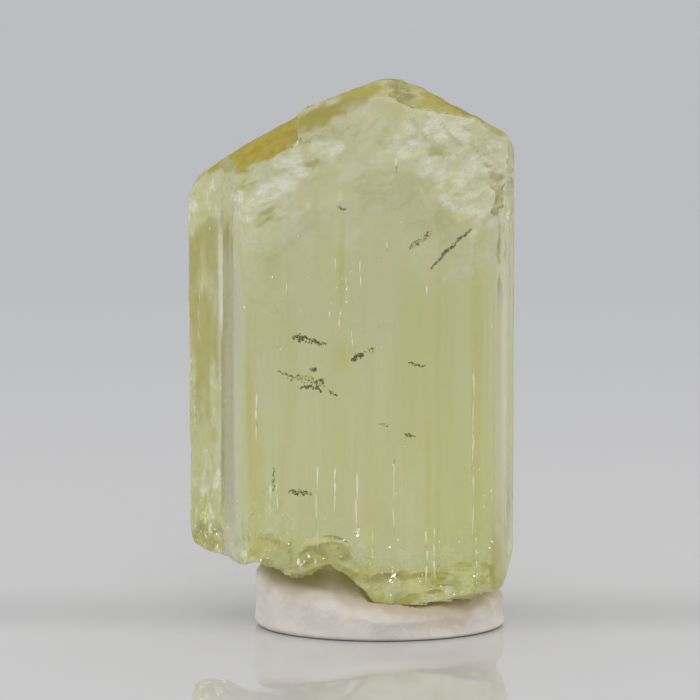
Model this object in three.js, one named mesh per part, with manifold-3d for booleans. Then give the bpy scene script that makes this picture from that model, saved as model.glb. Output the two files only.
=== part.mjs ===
// A gem crystal of yellow zoisite, standing in a pad of white mounting putty.
//
// Units are millimetres. +Z is up, +X is to the right and -Y is the front, which the broad face looks to.
// The origin is on the surface that the pad stands on, under the middle of the crystal's width and depth.
//
// The crystal is a prism whose section is drawn once and extruded upwards. Its foot is cut to the edge that
// it broke along, its roof and bevels are flat cuts, and its shell-shaped breaks are scoops.
// The putty is a round pad, lower in front, with the crystal's foot pressed into it.
import * as THREE from "three";
import { mergeVertices } from "three/addons/utils/BufferGeometryUtils.js";
import Module from "manifold-3d";

const CRYSTAL_TOP = 21.3; // highest point above the table
const WORKING_HEIGHT = 26; // the prism before its roof is cut
const WORKING_DEPTH = 22; // deeper than the crystal, for the cut that runs right through it
const WORKING_MARGIN = 8; // how much of that depth is in front of the crystal
const CUTTER_SIZE = 40; // side of the block that makes a flat cut
const LIMIT_SIZE = 120; // side of the block that stops a flat cut, which holds any cutter
const SCOOP_SEGMENTS = [28, 18];
const WELD_DISTANCE = 1e-4; // corners closer than this are one corner

// Section of the prism seen from above, as [x, y], starting at the left edge and going along the front.
// The broad faces carry shallow steps, because a zoisite prism is ribbed along its length.
const SECTION = [
  [-6.32, 1.75],
  [-5.66, 0.9],
  [-4.98, 0.1], // the inner corner, where the left shoulder meets the main prism
  [-4.25, -2.6],
  [-3.98, -3.1],
  [-3.1, -3.34],
  [-2.98, -3.2],
  [-0.35, -3.32],
  [-0.22, -3.2],
  [1.6, -3.36],
  [1.72, -3.26],
  [2.9, -3.4],
  [3.02, -3.28],
  [4.7, -3.36],
  [4.92, -3.14],
  [5.8, -3.0],
  [6.24, -1.9], // the narrow right bevel
  [6.32, 0.9],
  [6.1, 2.9],
  [5.2, 3.95],
  [3.4, 4.1],
  [3.28, 3.92],
  [1.05, 4.0],
  [0.92, 4.12],
  [-2.2, 4.05],
  [-2.34, 3.86],
  [-4.2, 3.74],
];

// The edge that the foot broke along, seen from the front, as [x, z] from left to right.
const FOOT_EDGE = [
  [-7.2, 4.4],
  [-6.34, 3.2],
  [-6.1, 2.34],
  [-5.6, 2.22],
  [-5.0, 2.26],
  [-4.25, 2.7],
  [-3.45, 2.86],
  [-3.0, 2.6],
  [-2.4, 2.2],
  [-1.9, 2.08],
  [-1.4, 2.3],
  [-0.8, 2.68], // the top of the notch
  [-0.2, 2.4],
  [0.3, 1.82],
  [0.85, 1.24],
  [2.2, 1.15],
  [3.9, 1.3],
  [5.0, 1.48],
  [5.75, 1.72],
  [5.98, 2.2],
  [6.2, 3.0],
  [7.2, 5.6],
];
const FOOT_FRONT = -3.3; // where that edge lies, from the front
const FOOT_RISE = 4; // degrees that the broken foot climbs towards the back

// Flat cuts. Each takes off what lies past the point, in the direction that it faces.
// The roof falls gently to the back from a ridge, and its lips slope down to the front.
// The left lip ends at a step, so its cut has a limit to the right.
const ROOF = [
  { name: "left eave", point: [-6.2, -0.4, 17.25], faces: [-0.68, 0.06, 0.73] },
  { name: "left roof", point: [-3.4, -0.4, 18.95], faces: [-0.503, 0.12, 0.864] },
  { name: "left crown", point: [0.0, -2.2, 20.86], faces: [-0.36, 0.13, 0.93] },
  { name: "crown", point: [1.75, -2.2, CRYSTAL_TOP], faces: [0.02, 0.14, 1] },
  { name: "right crown", point: [2.5, -2.2, 21.06], faces: [0.4, 0.125, 0.91] },
  { name: "right roof", point: [4.4, -2.2, 20.06], faces: [0.48, 0.12, 0.88] },
  { name: "right eave", point: [6.1, -2.2, 18.85], faces: [0.88, 0, 0.48] },
];
const LIPS = [
  { name: "left lip", point: [-3.4, -0.4, 18.95], faces: [-0.36, -0.28, 0.9], until: -2.0 },
  { name: "left eave lip", point: [-6.2, -0.4, 17.25], faces: [-0.64, -0.22, 0.72] },
  { name: "left crown lip", point: [1.5, -2.2, 21.25], faces: [-0.1, -0.75, 0.6] },
  { name: "right crown lip", point: [1.5, -2.2, 21.25], faces: [0.195, -0.76, 0.62] },
  { name: "right lip", point: [4.4, -2.2, 20.06], faces: [0.44, -0.24, 0.87] },
];
const BEVELS = [
  { name: "front left", point: [-3.6, -3.2, 15.6], faces: [-0.1, -0.97, 0.2] },
  { name: "front right", point: [4.1, -3.3, 15.9], faces: [0.14, -0.975, 0.165] },
  { name: "back left", point: [-3.0, 3.9, 17.2], faces: [-0.16, 0.93, 0.33] },
  { name: "back right", point: [4.2, 3.9, 16.7], faces: [0.14, 0.94, 0.3] },
  { name: "left shoulder", point: [-6.3, 1.75, 16.45], faces: [-0.85, -0.1, 0.53] },
];

// Shell-shaped breaks, each an ellipsoid taken out of the surface.
const SCOOPS = [
  { name: "under the left foot", centre: [-4.3, 2.4, 1.2], radii: [2.2, 2.2, 1.7] },
  { name: "behind the notch", centre: [-0.9, 0.9, 1.4], radii: [1.7, 3.0, 1.9] },
  { name: "under the right foot", centre: [3.4, 2.2, 0.5], radii: [2.4, 2.0, 1.0] },
  { name: "left edge, low", centre: [-7.25, 1.0, 6.2], radii: [1.2, 1.5, 1.5] },
  { name: "left edge, middle", centre: [-7.32, 1.0, 10.4], radii: [1.25, 1.4, 1.3] },
  { name: "right edge", centre: [7.2, -1.5, 12.6], radii: [1.06, 1.6, 2.4] },
  { name: "back of the roof", centre: [-1.4, 5.2, 20.0], radii: [2.4, 1.7, 1.3] },
];

// The putty pad, before the crystal is pressed in.
const PAD_CENTRE = [1.15, -0.37];
const PAD_HALF_WIDTH = 4.85;
const PAD_HALF_DEPTH = 3.75;
const PAD_HEIGHT = 1.98; // at its middle
const PAD_FALL_PER_X = 0.104; // the top slopes down to the right
const PAD_DOME = 0.07; // and falls away to the front and back with the square of the distance
const PAD_FOOT_ROUND = 0.2; // as shares of the half width and the height
const PAD_SHOULDER_ROUND = 0.16;
const PAD_TOP_RINGS = [0.63, 0.42, 0.21, 0]; // radii of the rings that carry the domed top
const PAD_SEGMENTS = 72;
const PAD_ROUND_STEPS = 6; // along the round foot and along the round shoulder
const PRESS_GAP = 0.2; // clearance that the pressed shape keeps all round the crystal

const wasm = await Module();
wasm.setup();

// A closed geometry as a solid that can be joined and cut.
function solidFrom(geometry) {
  const bare = geometry.index ? geometry.toNonIndexed() : geometry.clone();
  bare.deleteAttribute("normal");
  bare.deleteAttribute("uv");
  const merged = mergeVertices(bare, WELD_DISTANCE);
  return new wasm.Manifold(
    new wasm.Mesh({
      numProp: 3,
      vertProperties: merged.attributes.position.array,
      triVerts: new Uint32Array(merged.index.array),
    }),
  );
}

// A solid as a geometry that can be drawn.
function geometryFrom(solid) {
  const mesh = solid.getMesh();
  const geometry = new THREE.BufferGeometry();
  geometry.setAttribute("position", new THREE.BufferAttribute(mesh.vertProperties, 3));
  geometry.setIndex(new THREE.BufferAttribute(mesh.triVerts, 1));
  const flat = geometry.toNonIndexed();
  flat.computeVertexNormals();
  return flat;
}

function shapeFrom(points) {
  return new THREE.Shape(points.map(([x, y]) => new THREE.Vector2(x, y)));
}

function prism() {
  return solidFrom(
    new THREE.ExtrudeGeometry(shapeFrom(SECTION), { depth: WORKING_HEIGHT, bevelEnabled: false }),
  );
}

// Everything above the foot's broken edge, leaning so that the break climbs towards the back.
function aboveFoot() {
  const [left] = FOOT_EDGE[0];
  const [right] = FOOT_EDGE[FOOT_EDGE.length - 1];
  const outline = [...FOOT_EDGE, [right, WORKING_HEIGHT], [left, WORKING_HEIGHT]];
  const slab = new THREE.ExtrudeGeometry(shapeFrom(outline), {
    depth: WORKING_DEPTH,
    bevelEnabled: false,
  });
  slab.rotateX(Math.PI / 2);
  slab.translate(0, WORKING_DEPTH - WORKING_MARGIN, 0);
  slab.rotateX(THREE.MathUtils.degToRad(FOOT_RISE));
  slab.translate(0, FOOT_FRONT, 0);
  return solidFrom(slab);
}

// A block that holds everything to the left of a limit.
function leftOf(limit) {
  const block = new THREE.BoxGeometry(LIMIT_SIZE, LIMIT_SIZE, LIMIT_SIZE);
  block.translate(limit - LIMIT_SIZE / 2, 0, 0);
  return solidFrom(block);
}

// The block that lies past a flat cut, as far to the right as the cut goes.
function pastCut({ point, faces, until = CUTTER_SIZE }) {
  const block = new THREE.BoxGeometry(CUTTER_SIZE, CUTTER_SIZE, CUTTER_SIZE);
  block.translate(0, 0, CUTTER_SIZE / 2);
  const up = new THREE.Vector3(0, 0, 1);
  const direction = new THREE.Vector3(...faces).normalize();
  block.applyQuaternion(new THREE.Quaternion().setFromUnitVectors(up, direction));
  block.translate(...point);
  return solidFrom(block).intersect(leftOf(until));
}

function scoop({ centre, radii }) {
  const ball = new THREE.SphereGeometry(1, ...SCOOP_SEGMENTS);
  ball.scale(...radii);
  ball.translate(...centre);
  return solidFrom(ball);
}

function crystalSolid() {
  let crystal = prism().intersect(aboveFoot());
  for (const cut of [...ROOF, ...LIPS, ...BEVELS]) crystal = crystal.subtract(pastCut(cut));
  for (const hollow of SCOOPS) crystal = crystal.subtract(scoop(hollow));
  return crystal;
}

// The top of the uncut pad above a point, counted from the pad's own middle.
function padTop(x, y) {
  return PAD_HEIGHT - PAD_FALL_PER_X * x - PAD_DOME * y * y;
}

// Half of a disc's section with a round foot and shoulder, for a disc of radius 1 and height 1.
function padProfile() {
  const path = new THREE.Path();
  path.moveTo(0, 0);
  path.lineTo(1 - PAD_SHOULDER_ROUND, 0);
  path.quadraticCurveTo(1, 0, 1, PAD_FOOT_ROUND);
  path.lineTo(1, 1 - 2 * PAD_SHOULDER_ROUND);
  path.quadraticCurveTo(1, 1, 1 - PAD_SHOULDER_ROUND, 1);
  for (const share of PAD_TOP_RINGS) path.lineTo(share, 1);
  return path.getPoints(PAD_ROUND_STEPS);
}

function padSolid() {
  const disc = new THREE.LatheGeometry(padProfile(), PAD_SEGMENTS);
  disc.rotateX(Math.PI / 2);
  disc.scale(PAD_HALF_WIDTH, PAD_HALF_DEPTH, 1);
  const spots = disc.attributes.position;
  for (let i = 0; i < spots.count; i++)
    spots.setZ(i, spots.getZ(i) * padTop(spots.getX(i), spots.getY(i)));
  disc.translate(...PAD_CENTRE, 0);
  return solidFrom(disc);
}

// The crystal grown by the gap at its sides and dropped by the gap at its foot.
function pressedShape(crystal) {
  const { min, max } = crystal.boundingBox();
  const grow = (axis) => 1 + (2 * PRESS_GAP) / (max[axis] - min[axis]);
  return crystal.scale([grow(0), grow(1), 1]).translate([0, 0, -PRESS_GAP]);
}

function subPart(name, solid, look) {
  const mesh = new THREE.Mesh(geometryFrom(solid), new THREE.MeshStandardMaterial(look));
  mesh.name = name;
  return mesh;
}

const crystal = crystalSolid();
const pad = padSolid().subtract(pressedShape(crystal));

const specimen = new THREE.Group();
specimen.add(
  subPart("crystal", crystal, { color: 0xbdbd83, roughness: 0.15, metalness: 0 }),
  subPart("putty_pad", pad, { color: 0xd2cac4, roughness: 0.85, metalness: 0 }),
);

export default specimen;
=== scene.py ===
"""Looks for a pale zoisite crystal that stands in a pad of white putty.

The stone is regrown on a fine mesh from its plain solid, then etched, chipped and ribbed. What is sealed in
it is made as separate small pieces. The putty is kneaded round its foot. Lengths inside the functions are in
millimetres, and become metres when a mesh is written.
"""

import math

import bmesh
import bpy
import numpy as np
from bpy.props import FloatProperty, FloatVectorProperty, IntProperty, PointerProperty
from mathutils import Matrix, Vector
from mathutils.bvhtree import BVHTree


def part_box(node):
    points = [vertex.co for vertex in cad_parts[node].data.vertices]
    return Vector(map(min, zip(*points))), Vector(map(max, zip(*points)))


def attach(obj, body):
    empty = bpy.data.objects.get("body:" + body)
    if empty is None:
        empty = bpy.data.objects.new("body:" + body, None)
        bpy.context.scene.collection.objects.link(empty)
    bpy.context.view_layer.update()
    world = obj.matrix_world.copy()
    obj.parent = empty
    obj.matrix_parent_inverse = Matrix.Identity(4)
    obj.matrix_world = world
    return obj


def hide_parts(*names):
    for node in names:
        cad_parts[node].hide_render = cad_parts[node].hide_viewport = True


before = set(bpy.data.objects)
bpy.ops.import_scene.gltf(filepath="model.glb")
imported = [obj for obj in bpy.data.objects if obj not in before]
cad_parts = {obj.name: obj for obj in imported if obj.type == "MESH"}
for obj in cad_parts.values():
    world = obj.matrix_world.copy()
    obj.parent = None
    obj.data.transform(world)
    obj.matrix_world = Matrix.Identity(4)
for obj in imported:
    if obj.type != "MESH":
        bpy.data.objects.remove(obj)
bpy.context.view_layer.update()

bl_info = {
    "name": "Putty-mounted crystal",
    "version": (1, 0, 0),
    "blender": (4, 5, 0),
    "location": "View3D > Sidebar > Crystal",
    "description": "Grows a pale ribbed crystal, kneads its putty pad and sets a soft studio",
    "category": "Add Mesh",
}

MM = 0.001  # metres in a millimetre
STONE_NODE = "crystal"
INNER_CORNER = -4.98  # where the left shoulder meets the main prism, in millimetres from the middle
FACE_LEFT = -3.98  # the broad front face runs from here
FACE_RIGHT = 5.8  # to here
STEP_END = -2.0  # the step in the left roof
CREASE_LOW = (10.8, 12.2)  # heights between which the crisp crease of the left shoulder starts
CREASE_TOP = (14.6, 15.7)  # and between which it ends
FRONT_HALF = 1.0  # the front and the set-back shoulder lie nearer than this
GRID_HALVINGS = 8  # of the grid that the fine mesh is cut on
CRISP_EDGE = 24.0  # edges sharper than this stay crisp, in degrees
FLAKES_PER_AREA = 420  # in a feather, for each square millimetre
FLAKES_PER_LENGTH = 50  # and for each millimetre besides
CRACK_TURN = 36  # small cracks face this far to the left or the right, in degrees
CRACK_TIP = 18  # and this far up
PUTTY_NODE = "putty_pad"
PUTTY_HEIGHT = 1.98  # of the pad at its middle, in millimetres
PUTTY_FALL = 0.104  # its top slopes down to the right
PUTTY_DOME = 0.07  # and falls away with the square of the distance to the front and back


# ---------------------------------------------------------------- numbers that vary over space


def fade(low, high, values):
    """0 below low, 1 above high and a smooth rise between them. low may be the larger, for a fall."""
    share = np.clip((values - low) / (high - low), 0.0, 1.0)
    return share * share * (3.0 - 2.0 * share)


def cell_values(cells, seed, count):
    """count random numbers from 0 to 1 for each whole-number cell, the same ones each time."""
    table = np.random.default_rng(seed).random((8191, count))
    key = (cells[:, 0] * 73856093) ^ (cells[:, 1] * 19349663) ^ (cells[:, 2] * 83492791)
    return table[key % len(table)]


def smooth_noise(points, size, seed):
    """Noise from -1 to 1 whose lumps are about size across. size is one length or three."""
    spots = points / np.asarray(size, float)
    base = np.floor(spots).astype(np.int64)
    part = spots - base
    part = part * part * (3.0 - 2.0 * part)
    total = np.zeros(len(points))
    for corner in np.ndindex(2, 2, 2):
        corner = np.array(corner)
        weight = np.prod(np.where(corner, part, 1.0 - part), axis=1)
        total += weight * cell_values(base + corner, seed, 1)[:, 0]
    return total * 2.0 - 1.0


def layered_noise(points, size, seed, layers=4):
    """Noise with finer and weaker copies of itself on top."""
    total = np.zeros(len(points))
    for layer in range(layers):
        total += smooth_noise(points, np.asarray(size, float) / 2.0**layer, seed + layer) / 2.0**layer
    return total


def chip_field(points, size, seed):
    """Splits space into cells about size across, each with its own tilted facet.
    Returns the facets' heights, from -1 to 1, and a random number for each cell."""
    spots = points / np.asarray(size, float)
    base = np.floor(spots).astype(np.int64)
    nearest = np.full(len(points), 9.0)
    height = np.zeros(len(points))
    own = np.zeros(len(points))
    for step in np.ndindex(3, 3, 3):
        cells = base + np.array(step) - 1
        values = cell_values(cells, seed, 7)
        away = spots - cells - values[:, :3]
        gap = np.linalg.norm(away, axis=1)
        closer = gap < nearest
        tilt = np.einsum("ij,ij->i", away, values[:, 3:6] * 2.0 - 1.0)
        height = np.where(closer, tilt + (values[:, 6] - 0.5) * 0.8, height)
        own = np.where(closer, values[:, 6], own)
        nearest = np.where(closer, gap, nearest)
    return np.clip(height, -1.0, 1.0), own


# ---------------------------------------------------------------- meshes


def box_of(node):
    """The lowest and highest corner of a node's box, in millimetres."""
    low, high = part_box(node)
    return np.array(low) / MM, np.array(high) / MM


def mesh_arrays(mesh):
    """A mesh's corner positions in millimetres and its corner normals."""
    spots = np.empty(len(mesh.vertices) * 3)
    mesh.vertices.foreach_get("co", spots)
    normals = np.empty(len(mesh.vertices) * 3)
    mesh.vertices.foreach_get("normal", normals)
    return spots.reshape(-1, 3) / MM, normals.reshape(-1, 3)


def write_positions(mesh, spots):
    mesh.vertices.foreach_set("co", (spots * MM).ravel())
    mesh.update()


def paint(mesh, name, values):
    """Stores one number per corner for a material to read."""
    layer = mesh.attributes.new(name, "FLOAT", "POINT")
    layer.data.foreach_set("value", values.astype(np.float32))


def new_piece(name, mesh, slot, *materials):
    piece = bpy.data.objects.new(name, mesh)
    bpy.context.scene.collection.objects.link(piece)
    for material in materials:
        mesh.materials.append(material)
    return piece


def mesh_from(name, spots, faces):
    mesh = bpy.data.meshes.new(name)
    mesh.from_pydata((np.asarray(spots) * MM).tolist(), [], faces)
    mesh.validate()
    tidy = bmesh.new()
    tidy.from_mesh(mesh)
    bmesh.ops.recalc_face_normals(tidy, faces=tidy.faces)
    tidy.to_mesh(mesh)
    tidy.free()
    return mesh


def finely_meshed(node, scale):
    """The node's solid with the same flat faces and crisp edges, cut into small even cells."""
    copy = bpy.data.objects.new("fine_" + node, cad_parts[node].data.copy())
    bpy.context.scene.collection.objects.link(copy)
    weld = copy.modifiers.new("weld", "WELD")
    weld.merge_threshold = 0.002 * MM
    cells = copy.modifiers.new("cells", "REMESH")
    cells.mode = "SHARP"
    cells.octree_depth = GRID_HALVINGS
    cells.scale = scale
    cells.use_remove_disconnected = True
    graph = bpy.context.evaluated_depsgraph_get()
    mesh = bpy.data.meshes.new_from_object(copy.evaluated_get(graph))
    bpy.data.objects.remove(copy)
    mesh.materials.clear()
    return mesh


def surface_of(mesh):
    """A mesh's surface in millimetres, ready to be hit by rays."""
    mesh.calc_loop_triangles()
    return BVHTree.FromPolygons(
        [v.co / MM for v in mesh.vertices],
        [tuple(t.vertices) for t in mesh.loop_triangles],
    )


def reach_along(tree, spots, direction):
    """How far each spot, moved a little inwards, is from the far side of the solid along direction."""
    way = Vector(direction)
    inwards = 0.02
    reaches = np.zeros(len(spots))
    for i, spot in enumerate(spots):
        hit = tree.ray_cast(Vector(spot) + way * inwards, way)
        if hit[0] is not None:
            reaches[i] = hit[3]
    return reaches


# ---------------------------------------------------------------- materials


class Finish:
    """A material whose nodes are added one by one."""

    def __init__(self, name):
        self.material = bpy.data.materials.new(name)
        self.material.use_nodes = True
        self.tree = self.material.node_tree
        self.shader = self.tree.nodes["Principled BSDF"]
        self.output = self.tree.nodes["Material Output"]
        self.place = self.node("ShaderNodeTexCoord").outputs["Object"]

    def node(self, kind, **inputs):
        made = self.tree.nodes.new(kind)
        for name, value in inputs.items():
            self.feed(made.inputs[name.replace("_", " ")], value)
        return made

    def feed(self, socket, value):
        if isinstance(value, bpy.types.NodeSocket):
            self.tree.links.new(value, socket)
        else:
            socket.default_value = (*value, 1.0) if socket.type == "RGBA" else value

    def scaled_place(self, size, stretch):
        """The place on the part, scaled so that a length of size millimetres becomes 1."""
        mapping = self.node("ShaderNodeMapping", Vector=self.place)
        mapping.inputs["Scale"].default_value = [1.0 / (size * MM * way) for way in stretch]
        return mapping.outputs[0]

    def noise(self, size, detail=3.0, stretch=(1.0, 1.0, 1.0)):
        """Cloudy noise from 0 to 1 with lumps of about size millimetres."""
        spot = self.scaled_place(size, stretch)
        return self.node("ShaderNodeTexNoise", Vector=spot, Scale=1.0, Detail=detail).outputs["Fac"]

    def cells(self, size):
        """Distance from the middle of random cells of about size millimetres."""
        spot = self.scaled_place(size, (1.0, 1.0, 1.0))
        return self.node("ShaderNodeTexVoronoi", Vector=spot, Scale=1.0).outputs["Distance"]

    def painted(self, name):
        made = self.tree.nodes.new("ShaderNodeAttribute")
        made.attribute_name = name
        return made.outputs["Fac"]

    def spread(self, value, low, high, to_low=0.0, to_high=1.0):
        """Maps low..high of a value onto to_low..to_high, held at the ends."""
        made = self.node("ShaderNodeMapRange")
        for socket, given in zip(made.inputs, (value, low, high, to_low, to_high)):
            self.feed(socket, given)
        return made.outputs[0]

    def maths(self, operation, *values):
        made = self.tree.nodes.new("ShaderNodeMath")
        made.operation = operation
        for socket, given in zip(made.inputs, values):
            self.feed(socket, given)
        return made.outputs[0]

    def mixed(self, share, first, second):
        """A colour between first and second."""
        made = self.tree.nodes.new("ShaderNodeMix")
        made.data_type = "RGBA"
        for name, given in (("Factor", share), ("A", first), ("B", second)):
            self.feed(next(s for s in made.inputs if s.name == name and s.enabled), given)
        return next(s for s in made.outputs if s.enabled)

    def bump(self, height, depth, normal=None):
        """Raises the surface by height, from 0 to 1, times depth millimetres."""
        made = self.node("ShaderNodeBump", Height=height, Distance=depth * MM)
        if normal is not None:
            self.tree.links.new(normal, made.inputs["Normal"])
        return made.outputs[0]

    def set(self, **inputs):
        for name, value in inputs.items():
            self.feed(self.shader.inputs[name.replace("_", " ")], value)


def soak_up(finish, stone):
    """Fills the solid inside a finish with stone that takes up blue light along its length."""
    absorb = finish.node("ShaderNodeVolumeAbsorption", Color=stone.through_color, Density=stone.absorption)
    finish.tree.links.new(absorb.outputs[0], finish.output.inputs["Volume"])


# Faint streaks in the clear stone: noise size and stretch, where they start and are full, strength, colour.
CLEAR_STREAKS = (
    (0.7, (1.0, 3.0, 9.0), 0.42, 0.6, 0.8, (0.87, 0.95, 0.72)),
    (0.4, (1.0, 3.0, 12.0), 0.48, 0.62, 0.7, (0.97, 0.93, 0.86)),
    (0.2, (1.0, 3.0, 20.0), 0.54, 0.72, 0.5, (0.82, 0.88, 0.66)),
)


def stone_finish(stone):
    """Clear stone, banded along its length, with painted coats over it and frosted where it is etched."""
    finish = Finish("clear_stone")
    low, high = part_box(STONE_NODE)
    height = finish.node("ShaderNodeSeparateXYZ", Vector=finish.place).outputs["Z"]
    body = finish.mixed(finish.spread(height, low[2], high[2], 1.0, 0.0), stone.top_tint, stone.foot_tint)
    for size, stretch, faint, full, share, colour in CLEAR_STREAKS:
        streaks = finish.spread(finish.noise(size, 3.0, stretch), faint, full)
        body = finish.mixed(finish.maths("MULTIPLY", streaks, share), body, colour)
    shards = finish.spread(finish.noise(0.28, 5.0, (1.7, 1.0, 0.8)), 0.4, 0.58, 0.5, 1.15)
    patches = finish.maths("MULTIPLY", finish.painted("bloom"), shards)
    # The painted highlights of the edges join the etched patches here and take their white.
    bloom = finish.maths("MAXIMUM", patches, finish.painted("painted_highlights"))
    near_foot = finish.spread(height, low[2] + 1.0 * MM, low[2] + 4.0 * MM, 1.0, 0.0)
    milk = finish.mixed(near_foot, stone.haze_color, stone.foot_haze_color)
    # The frosted stripe's grey is a painted reflection of the room at a grazing angle.
    frosted_reflection = finish.painted("frosted_reflection")
    # Each coat's cover, its colour and how much of the light it stops from going through.
    coats = (
        (finish.painted("yellow"), stone.band_color, 0.0),
        (finish.painted("haze"), milk, 0.5),
        (frosted_reflection, stone.frosted_reflection_color, 0.5),
        (bloom, stone.bloom_color, 0.85),
        (finish.painted("olive"), stone.pit_color, 0.65),
        (finish.painted("film"), stone.film_color, 0.75),
    )
    solid = 0.0
    for cover, colour, stopped in coats:
        body = finish.mixed(cover, body, colour)
        solid = finish.maths("MULTIPLY_ADD", cover, stopped, solid)
    grain = finish.maths("MULTIPLY", finish.noise(0.22, 4.0), finish.painted("frost"))
    rough = 0.03
    for cover, added in ((grain, 0.35), (bloom, 0.3), (frosted_reflection, 0.2), (finish.painted("broken"), 0.24)):
        rough = finish.maths("MULTIPLY_ADD", cover, added, rough)
    relief = finish.bump(finish.noise(0.7, 2.0, (1.0, 1.0, 30.0)), 0.006)
    relief = finish.bump(finish.noise(0.16, 3.0, (1.0, 1.0, 40.0)), 0.0015, relief)
    finish.set(
        Base_Color=body,
        Roughness=rough,
        IOR=stone.refraction,
        Transmission_Weight=finish.spread(solid, 0.0, 1.0, 1.0, 0.0),
        Normal=finish.bump(grain, 0.02, relief),
    )
    soak_up(finish, stone)
    return finish.material


def ochre_skin_finish(stone):
    """The ochre skin on the roof: it glows with the colour that the stone has along its whole length."""
    finish = Finish("ochre_skin")
    streaks = finish.spread(finish.noise(0.5, 3.0, (0.6, 1.0, 2.0)), 0.35, 0.65)
    specks = finish.spread(finish.noise(0.25, 2.0), 0.68, 0.74)
    body = finish.mixed(streaks, stone.stain_color, (0.50, 0.41, 0.06))
    finish.set(
        Base_Color=finish.mixed(finish.maths("MULTIPLY", specks, 0.7), body, (0.75, 0.34, 0.06)),
        Roughness=finish.spread(streaks, 0.0, 1.0, 0.3, 0.45),
        IOR=stone.refraction,
        Specular_IOR_Level=0.02,
        Transmission_Weight=0.2,
        Normal=finish.bump(finish.noise(0.3, 3.0), 0.01),
    )
    soak_up(finish, stone)
    return finish.material


def sealed_finish(name, clouds, tones, roughness, bump_size=0.06, metallic=0.0):
    """A finish for small pieces in the stone, clouded between two tones. clouds says how noise makes them."""
    finish = Finish(name)
    tone = finish.spread(finish.noise(*clouds), 0.35, 0.65)
    finish.set(
        Base_Color=finish.mixed(tone, *tones),
        Metallic=metallic,
        Roughness=finish.spread(tone, 0.0, 1.0, *roughness),
        Normal=finish.bump(finish.noise(bump_size, 2.0), 0.01),
    )
    return finish.material


def dark_film_finish(seals):
    return sealed_finish("dark_film", (0.12, 3.0), (seals.dark_color, (0.38, 0.39, 0.05)), (0.25, 0.6), 0.05)


def feather_glint_finish():
    tones = ((0.55, 0.57, 0.16), (0.74, 0.75, 0.42))
    return sealed_finish("feather_glint", (0.1, 2.0), tones, (0.3, 0.5))


def tube_highlight_finish(seals):
    """Fine hollow tubes, which scatter the light, set on the surface and pale as a painted highlight."""
    tones = ((0.74, 0.74, 0.44), seals.bright_color)
    return sealed_finish("tube_highlight", (0.4, 2.0, (1.0, 1.0, 3.0)), tones, (0.3, 0.5))


def bright_crack_finish(seals):
    """Air in a crack, which mirrors the light."""
    tones = (seals.bright_color, (0.95, 0.95, 0.8))
    return sealed_finish("bright_crack", (0.1, 2.0), tones, (0.2, 0.4), metallic=0.8)


def putty_finish(putty):
    """Matt putty with a fine grain, small pits and faint dirt, and a painted ochre shade near the stone."""
    finish = Finish("white_putty")
    cloud = finish.spread(finish.noise(1.1, 4.0), 0.35, 0.65)
    grain = finish.noise(0.09, 4.0)
    crumbs = finish.noise(0.3, 3.0)
    specks = finish.spread(finish.cells(0.5), 0.0, 0.07, 1.0, 0.0)
    body = finish.mixed(cloud, putty.putty_color, (0.78, 0.72, 0.65))
    # Painted ochre shade where the putty lies near the stone.
    body = finish.mixed(finish.painted("stone_shade"), body, putty.stone_shade_color)
    dusty = finish.mixed(finish.spread(grain, 0.6, 0.75, 0.0, 0.25), body, (0.62, 0.56, 0.5))
    finish.set(
        Base_Color=finish.mixed(finish.maths("MULTIPLY", specks, 0.35), dusty, (0.4, 0.34, 0.27)),
        Roughness=finish.spread(crumbs, 0.3, 0.7, 0.55, 0.85),
        Subsurface_Weight=0.15,
        Subsurface_Radius=(0.9, 0.7, 0.5),
        Subsurface_Scale=0.4 * MM,
        Normal=finish.bump(grain, 0.012, finish.bump(crumbs, 0.05)),
    )
    return finish.material


def floor_finish(stage):
    """Pale polished acrylic, with a painted soft shadow band behind the part and painted shade that greys the
    far side.
    """
    finish = Finish("pale_acrylic")
    back = finish.node("ShaderNodeSeparateXYZ", Vector=finish.place).outputs["Y"]
    # Painted shadow: a soft darker band just behind the part.
    painted_shadow_band = finish.maths(
        "MULTIPLY",
        finish.spread(back, -2.5 * MM, 1.0 * MM),
        finish.spread(back, 3.0 * MM, 8.0 * MM, 1.0, 0.0),
    )
    # Painted shade: the floor greys further back.
    near = finish.mixed(finish.spread(back, 15 * MM, 100 * MM), stage.floor_color, stage.middle_shade_color)
    pale = finish.mixed(finish.spread(back, 100 * MM, 300 * MM), near, stage.far_shade_color)
    finish.set(
        Base_Color=finish.mixed(painted_shadow_band, pale, stage.band_color),
        Roughness=finish.spread(finish.noise(6.0, 3.0), 0.3, 0.7, 0.015, 0.025),
        Normal=finish.bump(finish.noise(3.0, 2.0), 0.0005),
    )
    return finish.material


# ---------------------------------------------------------------- where things lie on the stone

# All places below are shares of the stone's width and height, counted from its lower left corner.

# Where etched patches gather: (across, up, spread across, spread up, how many, usual lean in degrees).
WHITE_CLUSTERS = (
    (0.68, 0.90, 0.06, 0.03, 6, 50),
    (0.79, 0.90, 0.05, 0.02, 4, 0),
    (0.76, 0.83, 0.04, 0.03, 6, 70),
    (0.84, 0.83, 0.04, 0.02, 5, 35),
    (0.93, 0.84, 0.04, 0.04, 6, 0),
    (0.88, 0.78, 0.07, 0.03, 6, -20),
    (0.93, 0.73, 0.04, 0.03, 4, 30),
    (0.33, 0.84, 0.03, 0.02, 4, -40),
    (0.45, 0.86, 0.03, 0.02, 3, 20),
    (0.27, 0.79, 0.05, 0.02, 5, 20),
    (0.18, 0.76, 0.05, 0.03, 7, 0),
)
# Where small olive pits gather, in the same way.
PIT_CLUSTERS = (
    (0.78, 0.88, 0.07, 0.03, 12, -25),
    (0.92, 0.83, 0.06, 0.05, 14, -25),
    (0.72, 0.94, 0.05, 0.02, 4, -25),
    (0.48, 0.91, 0.09, 0.03, 6, 15),
    (0.17, 0.79, 0.04, 0.02, 7, 20),
    (0.27, 0.75, 0.05, 0.02, 8, 25),
    (0.41, 0.83, 0.03, 0.02, 3, 30),
)
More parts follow.
